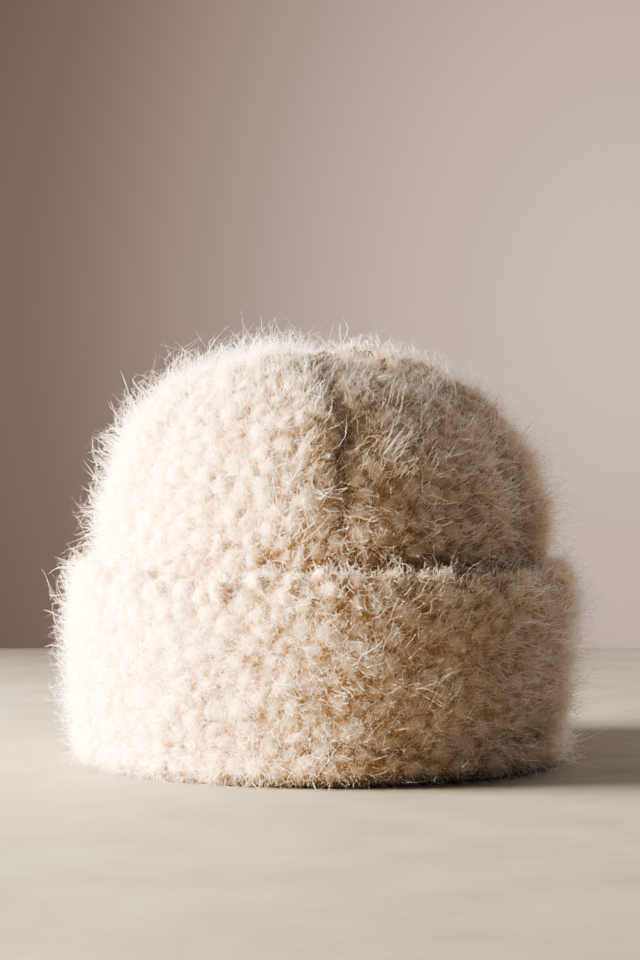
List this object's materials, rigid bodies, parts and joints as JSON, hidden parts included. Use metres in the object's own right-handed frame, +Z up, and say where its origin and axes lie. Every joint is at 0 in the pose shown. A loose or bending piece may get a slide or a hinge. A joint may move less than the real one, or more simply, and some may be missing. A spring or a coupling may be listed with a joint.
{
  "type": "knitted beanie hat with turned-up cuff",
  "caption": "Fluffy knitted beanie with a gored dome crown and a deep turned-up cuff, hollow for a head.",
  "frame": {"origin": "centre of the bottom of the bounding box, on the floor that the cuff's fold stands on", "axes": "+Z up through the top of the crown, -Y towards the front, +X to the right as seen from the front"},
  "size_m": [0.2216, 0.2214, 0.1745],
  "materials": {
    "crown_knit": "deep soft fuzz on a thick cream knit",
    "cuff_knit": "deep soft fuzz on a thick cream knit, its reverse side out"
  },
  "bodies": {
    "root": {"crown": "crown_knit", "cuff": "cuff_knit"}
  },
  "joints": []
}
